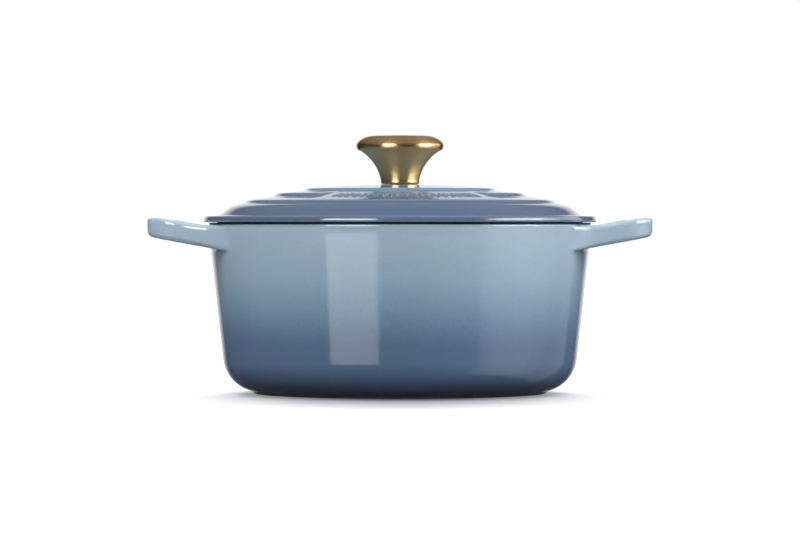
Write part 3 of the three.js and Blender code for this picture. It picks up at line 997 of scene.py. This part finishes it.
def shape_lid(x, y, z):
    """Levels the middle terrace over the front panel, and swells the pads out of the lip."""
    radius = np.hypot(x, y)
    direction = np.arctan2(y, x)
    share = (radius - PANEL_INNER[0]) / (PANEL_OUTER[0] - PANEL_INNER[0])
    slope = PANEL_INNER[1] + (PANEL_OUTER[1] - PANEL_INNER[1]) * share
    off_panel = smoothstep(PANEL_HALF, PANEL_HALF + PANEL_FADE, turned_from(direction, PANEL_CENTRE))
    on_slope = (radius > PANEL_INNER[0]) & (radius < PANEL_OUTER[0]) & (z > slope - LID_WALL / 2)
    z = np.where(on_slope, slope + (z - slope) * off_panel, z)
    pad = np.zeros_like(x)
    for k in range(PAD_COUNT):
        away = turned_from(direction, math.pi / 2 + k * math.tau / PAD_COUNT) * LIP_RADIUS
        pad += 1 - smoothstep(PAD_HALF_WIDTH, PAD_HALF_WIDTH + PAD_FADE, away)
    upright = smoothstep(LIP_BOTTOM + 0.5, LIP_BOTTOM + 1.0, z) * (1 - smoothstep(110.0, 110.5, z))
    on_lip = smoothstep(LIP_RADIUS - 0.7, LIP_RADIUS - 0.1, radius) * (radius < LIP_RADIUS + 0.3)
    scale = 1 + PAD_PROUD * pad * upright * on_lip / radius
    return x * scale, y * scale, z


def lid_row_length(middle):
    """Rows are short where the relief is."""
    on_relief = abs(middle[0] - RELIEF_RADIUS) < RELIEF_LENGTH / 2 + 1 and middle[1] > 125
    return 0.46 if on_relief else 3.0


def lid_under(radius, height):
    """1 on the lid's underside: below the middle of its wall."""
    middle = np.interp(radius, *np.transpose(WALL_MIDDLE))
    return np.where(radius > 114, height < LIP_BOTTOM + 1.5, height < middle).astype(float)


def lid_seat(radius, height):
    """1 on the ring that rests on the pot's rim, and on the lip beside it."""
    ring = smoothstep(117.4, 118.6, radius) * (height < RIM_HEIGHT + 0.9) * (height > LIP_BOTTOM + 0.6)
    return ring * (1 - smoothstep(FLANGE_RADIUS - 0.9, FLANGE_RADIUS - 0.3, radius))


def lid_casting():
    panel = math.degrees(PANEL_CENTRE)
    wide = math.degrees(PANEL_HALF + PANEL_FADE) + 1
    angles = spaced_angles([(panel - wide, panel + wide, 0.43), (panel + wide, panel + 360 - wide, 1.5)])
    lid = revolved("lid_casting", refined(lid_outline(), lid_row_length), angles, shape_lid)
    run_nodes(lid, relief_tree(), {
        "Centre Direction": PANEL_CENTRE,
        "Pitch": RELIEF_PITCH,
        "Count": float(RELIEF_COUNT),
        "Radius": RELIEF_RADIUS * MM,
        "Lozenge Width": RELIEF_WIDTH * MM,
        "Length": RELIEF_LENGTH * MM,
        "Bar Width": RELIEF_BAR * MM,
        "Raise": RELIEF_RAISE * MM,
        "Above": RELIEF_LOWEST * MM,
        "Material": LID_ENAMEL,
    })
    lid.data.shade_smooth()
    radius, height = radius_and_height(coordinates(lid))
    store(lid, "lining", lid_under(radius, height))
    store(lid, "rim", lid_seat(radius, height))
    store_convexity(lid, 2.2 * MM)
    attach(lid, "lid")
    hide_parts("lid")


# ---- Knob ----


def finish_metal(obj, material, node):
    """Gives a turned piece its finish and its place in the lid's body."""
    store_convexity(obj, 0.8 * MM)
    obj.data.set_sharp_from_angle(angle=math.radians(32))
    obj.data.materials.clear()
    obj.data.materials.append(material)
    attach(obj, "lid")
    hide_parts(node)


def knob_cap_shell():
    """The pressed cap, whose lip turns in over the skirt."""
    top, seam, radius = CAP_TOP, CAP_BOTTOM, CAP_RADIUS
    widest = seam + 3.7
    lip_x, lip_end, flat_from, flat_end, dip = 25.4, 25.3, 17.5, 15.2, 0.3
    lip = arc((lip_x, widest - 0.4), radius - lip_x, np.radians(np.linspace(-88, 0, 14)[:-1]))
    shoulder = [(radius, widest), (radius, widest + 2.2), (24.2, top), (flat_from, top)]
    over = bezier(shoulder, np.linspace(0, 1, 24))
    crown = rounded_outline([tuple(over[-1]) + (0,), (flat_end, top - dip, 9), (0, top - dip, 0)])
    under, side = top - SHEET, radius - SHEET
    lining = [(flat_from, under), (23.6, under), (side, widest + 1.9), (side, widest)]
    inside = bezier(lining, np.linspace(0, 1, 14))
    turned_in = [(lip_end + 1.0, seam + SHEET + 0.4), (lip_end, seam + SHEET), (lip_end, seam + 0.05)]
    outline = np.vstack(([(0, under - dip)], inside, turned_in, lip, over, crown[1:]))
    obj = revolved("knob_cap_shell", outline, even_angles(160))
    finish_metal(obj, GOLD, "knob_cap")


def knob_skirt_shell():
    """The trumpet under the cap, with a base turned in for the bush and a rim round the seat ring."""
    bore, foot_radius, rounding = 5.8, 12.6, 1.5
    base = SEAT_TOP + GAP
    inner_rim = SEAT_RADIUS + GAP
    flare_centre, flare = (41.7, 132.5), 29.8
    waist_angle = math.radians(168.6)
    top_angle = math.pi - math.asin((SKIRT_TOP - flare_centre[1]) / flare)
    angles = np.linspace(waist_angle, top_angle, 34)
    outside = arc(flare_centre, flare, angles)
    inside = arc(flare_centre, flare + SHEET, angles[::-1])
    foot = arc((foot_radius - rounding, SKIRT_BOTTOM + rounding), rounding, np.linspace(-math.pi / 2, 0, 9))
    collar = [(outside[-1][0] - 1.3, SKIRT_TOP)]
    floor = [
        (10.9, base + SHEET),
        (bore, base + SHEET),
        (bore, base),
        (inner_rim, base),
        (inner_rim, SKIRT_BOTTOM),
    ]
    outline = np.vstack((foot, outside, collar, inside, floor))
    obj = revolved("knob_skirt_shell", outline, even_angles(160))
    finish_metal(obj, GOLD, "knob_skirt")


# ---- Screw, bush and washers ----


def cut_thread(obj, tree, radius, depth, start, end):
    """Winds a thread's groove into a turned piece. A negative depth cuts a nut's thread."""
    run_nodes(obj, tree, {
        "Radius": radius * MM,
        "Depth": depth * MM,
        "Pitch": THREAD_PITCH * MM,
        "From": start * MM,
        "To": end * MM,
        "Material": BRIGHT_STEEL,
    })


def knob_bush(thread):
    low, high, flange = BUSH_BOTTOM, BUSH_TOP, BUSH_RADIUS
    flange_low = SEAT_TOP + GAP + SHEET + GAP
    body, bore = 5.5, 3.3
    outline = refined(rounded_outline([
        (bore, (low + high) / 2, 0),
        (bore, low, 0.35),
        (body, low, 0.4),
        (body, flange_low, 0.25),
        (flange, flange_low, 0.35),
        (flange, flange_low + 2, 0.35),
        (body, flange_low + 2, 0.3),
        (body, high, 0.5),
        (bore, high, 0.35),
        (bore, (low + high) / 2, 0),
    ], math.radians(20))[:-1], lambda middle: THREAD_STEP if middle[0] < bore + 0.1 else 1.5)
    obj = revolved("knob_bush", outline, even_angles(72))
    cut_thread(obj, thread, bore, -0.5, low + 0.5, high - 0.5)
    obj.data.shade_smooth()
    finish_metal(obj, BRIGHT_STEEL, "knob_threaded_bush")


def ring(name, low, high, edge, rounding):
    """A flat ring with softly rounded edges."""
    hole, middle = 3.6, (low + high) / 2
    outline = rounded_outline([
        (hole, middle, 0),
        (hole, low, rounding),
        (edge, low, rounding),
        (edge, high, rounding),
        (hole, high, rounding),
        (hole, middle, 0),
    ], math.radians(22))[:-1]
    return revolved(name, outline, even_angles(96))


def flat_rings():
    """The rubber ring that the knob sits on, and the washer under the lid."""
    seat = ring("knob_seat_ring", SEAT_BOTTOM, SEAT_TOP, SEAT_RADIUS, 0.2)
    finish_metal(seat, RUBBER, "knob_seat_washer")
    flat = ring("washer_flat", FLAT_BOTTOM, FLAT_TOP, FLAT_RADIUS, 0.3)
    finish_metal(flat, BRIGHT_STEEL, "flat_washer")


def split_washer():
    """A spring washer: a square wire wound not quite once round, its ends a little apart."""
    hole, edge, bevel, rise = 3.6, LOCK_RADIUS, 0.18, 0.25
    gap = 0.6 / hole
    thickness = LOCK_TOP - LOCK_BOTTOM - rise
    section = [
        (hole + bevel, 0), (edge - bevel, 0), (edge, bevel), (edge, thickness - bevel),
        (edge - bevel, thickness), (hole + bevel, thickness), (hole, thickness - bevel), (hole, bevel),
    ]
    rows = []
    for share in np.linspace(0, 1, 90):
        angle = gap + (math.tau - 2 * gap) * share
        lift = LOCK_BOTTOM + rise * share
        rows.append([(r * math.cos(angle), r * math.sin(angle), lift + height) for r, height in section])
    finish_metal(swept("washer_split", rows), BRIGHT_STEEL, "lock_washer")


def cross_cutter(base, arm, width, depth):
    """Two crossed bars that narrow upwards, to cut the driver recess. They start 1 below base."""
    points, faces = [], []
    for turned in (False, True):
        first = len(points)
        for height, shorter, thinner in ((-1.0, 1.15, 1.0), (depth, 0.55, 0.8)):
            for x, y in ((-arm, -width), (arm, -width), (arm, width), (-arm, width)):
                across = (y * thinner, x * shorter) if turned else (x * shorter, y * thinner)
                points.append((*across, base + height))
        low, high = list(range(first, first + 4)), list(range(first + 4, first + 8))
        faces += [low, high[::-1]]
        faces += [[low[k - 1], high[k - 1], high[k], low[k]] for k in range(4)]
    obj = new_piece("cross", np.array(points) * MM, faces)
    point_outwards(obj)
    return obj


def knob_screw(thread):
    """An M6 pan-head screw, head down."""
    low, high = SCREW_BOTTOM, SCREW_TOP
    head_top = LOCK_BOTTOM - GAP
    shank = 3.0
    outline = refined(rounded_outline([
        (0, low, 0),
        (SCREW_RADIUS, low, 1.9),
        (SCREW_RADIUS, head_top, 0.3),
        (shank, head_top, 0.25),
        (shank, high, 0.7),
        (0, high, 0),
    ], math.radians(12)), lambda middle: THREAD_STEP if abs(middle[0] - shank) < 0.1 else 0.8)
    obj = revolved("knob_screw_m6", outline, even_angles(72))
    cut_thread(obj, thread, shank, 0.52, head_top + 2.5, high + 0.4)
    combined(obj, cross_cutter(low, arm=3.1, width=0.6, depth=2.0), "DIFFERENCE")
    obj.data.shade_smooth()
    finish_metal(obj, BRIGHT_STEEL, "knob_screw")

# ---- Camera, light and floor, in metres ----

CAMERA_DISTANCE = 2.67
CAMERA_HEIGHT = 0.110
CAMERA_PITCH = math.radians(0.594)
PANEL_DISTANCE = 1.6
POT_MIDDLE = Vector((0, 0, 0.06))
WHITE = (1, 1, 1, 1)


def place_camera():
    camera = new_object("camera", bpy.data.cameras.new("camera"))
    camera.data.sensor_width = 36
    camera.data.lens = 184.4
    camera.data.clip_start, camera.data.clip_end = 0.05, 60
    camera.location = (0, -CAMERA_DISTANCE, CAMERA_HEIGHT)
    camera.rotation_euler = (math.pi / 2 - CAMERA_PITCH, 0, 0)
    bpy.context.scene.camera = camera


def panel_light(name, place, width, height, radiance, facing):
    """A soft rectangle of light."""
    light = bpy.data.lights.new(name, "AREA")
    light.shape = "RECTANGLE"
    light.size, light.size_y = width, height
    light.energy = radiance * math.pi * width * height
    obj = new_object(name, light)
    obj.location = place
    obj.rotation_euler = facing.to_track_quat("-Z", "Y").to_euler()
    obj.visible_camera = False
    return obj


def reflected_panel(name, first, last, low, high, radiance):
    """An upright panel that only shows as a reflection, between two directions.

    Directions are in degrees from -Y towards +X.
    """
    angle, half = math.radians((first + last) / 2), math.radians(last - first) / 2
    facing = Vector((-math.sin(angle), math.cos(angle), 0))
    place = -facing * PANEL_DISTANCE + Vector((0, 0, (low + high) / 2))
    width = 2 * PANEL_DISTANCE * math.tan(half)
    panel = panel_light(name, place, width, high - low, radiance, facing)
    panel.visible_diffuse = False


def soft_light(name, place, width, height, radiance, off=None):
    """A large soft light aimed at the pot, which doesn't show as a reflection.

    A flag keeps it off one object.
    """
    place = Vector(place)
    light = panel_light(name, place, width, height, radiance, POT_MIDDLE - place)
    light.visible_glossy = False
    if off:
        flag = bpy.data.collections.new(name + "_flag")
        light.light_linking.receiver_collection = flag
        flag.objects.link(off)
        flag.collection_objects[0].light_linking.link_state = "EXCLUDE"


def studio_world():
    """A white backdrop behind the pot, and a grey room round the rest. Seen directly it is all white."""
    world = bpy.data.worlds.new("studio")
    world.use_nodes = True
    bpy.context.scene.world = world
    room = Tree(tree=world.node_tree)
    back = room.tree.nodes["Background"]
    xyz = room.split(room.node("ShaderNodeTexCoord").outputs["Generated"])
    ceiling = room.range(xyz[2], 0.15, 0.85, 0.05, 0.40)
    backdrop = room.times(room.range(xyz[1], 0.88, 0.97), room.range(xyz[2], -0.25, -0.05))
    glow = room.math("MAXIMUM", ceiling, backdrop)
    seen = room.node("ShaderNodeLightPath").outputs["Is Camera Ray"]
    room.feed(back.inputs["Strength"], room.math("MAXIMUM", glow, seen))
    room.feed(back.inputs["Color"], WHITE)


def pale_floor():
    """White paper with a painted glow for the camera: the glow grows from none at the pot to nearly pure
    white about a third of a metre out, as the backdrop is, so the paper near the pot stays darker like a
    painted shadow. Light bounced off it is a darker grey than the white the camera sees.
    """
    reach, top, bottom = 9000, -0.6, -20
    section = np.array([(0, top), (reach, top), (reach, bottom), (0, bottom)])
    floor = revolved("floor", section, even_angles(96))
    f = Finish("floor_paper", Roughness=0.9, Specular_IOR_Level=0.0, Emission_Color=WHITE)
    seen = f.node("ShaderNodeLightPath").outputs["Is Camera Ray"]
    place = f.object_place()
    oval = f.node("ShaderNodeVectorMath", {0: place, 1: (1.3, 0.8, 0)}, operation="MULTIPLY").outputs[0]
    away = f.node("ShaderNodeVectorMath", {0: oval}, operation="LENGTH").outputs["Value"]
    # Painted glow, seen by the camera only: it brightens the paper with distance from the pot, so the paper
    # near the pot stays darker like a painted shadow.
    painted_glow = f.range(away, 0.0, 0.33, 0.0, 0.95)
    grain = f.noise(place, scale=500.0, detail=2.0)
    white = f.mixed(grain, (0.90, 0.93, 0.97, 1), (0.93, 0.96, 0.99, 1))
    # Painted shade: the camera sees white paper, but light bounced off it is a darker grey, so the pot's
    # undersides get less light than white paper would give.
    tone = f.mixed(seen, (0.72, 0.73, 0.75, 1), white)
    f.connect(Base_Color=tone, Emission_Strength=f.times(painted_glow, seen))
    floor.data.materials.append(f.material)
    floor.visible_glossy = False
    return floor


def light_studio(floor):
    """Two tall windows of light in front, and soft light from above on every side."""
    bpy.context.scene.view_settings.view_transform = "Standard"
    studio_world()
    reflected_panel("left_panel", -44, -13, low=0.20, high=0.78, radiance=12.0)
    reflected_panel("left_panel_low", -44, -13, low=-0.42, high=-0.15, radiance=2.3)
    # The right panel fades at both sides: from, to, share of its full radiance
    strips = [(50, 56, 0.5), (56, 90, 1.0), (90, 102, 0.5), (102, 130, 0.2)]
    for k, (first, last, share) in enumerate(strips):
        low_radiance = 0.8 * math.sqrt(share)
        reflected_panel(f"right_panel_{k}", first, last, low=0.18, high=0.8, radiance=11.0 * share)
        reflected_panel(f"right_panel_low_{k}", first, last, low=-1.3, high=-0.04, radiance=low_radiance)
    soft_light("front_light", (0, -2.0, 1.0), width=2.8, height=1.2, radiance=4.1, off=floor)
    soft_light("left_light", (-1.45, -0.4, 1.15), width=1.0, height=1.0, radiance=6.2, off=floor)
    soft_light("right_light", (1.5, -0.35, 1.0), width=1.0, height=1.0, radiance=9.5, off=floor)
    soft_light("back_light", (0, 1.3, 1.35), width=3.0, height=0.7, radiance=6.3)

# ---- Everything in order ----

place_camera()
light_studio(pale_floor())

thread = thread_tree()
pot_casting()
lid_casting()
knob_cap_shell()
knob_skirt_shell()
knob_bush(thread)
flat_rings()
split_washer()
knob_screw(thread)
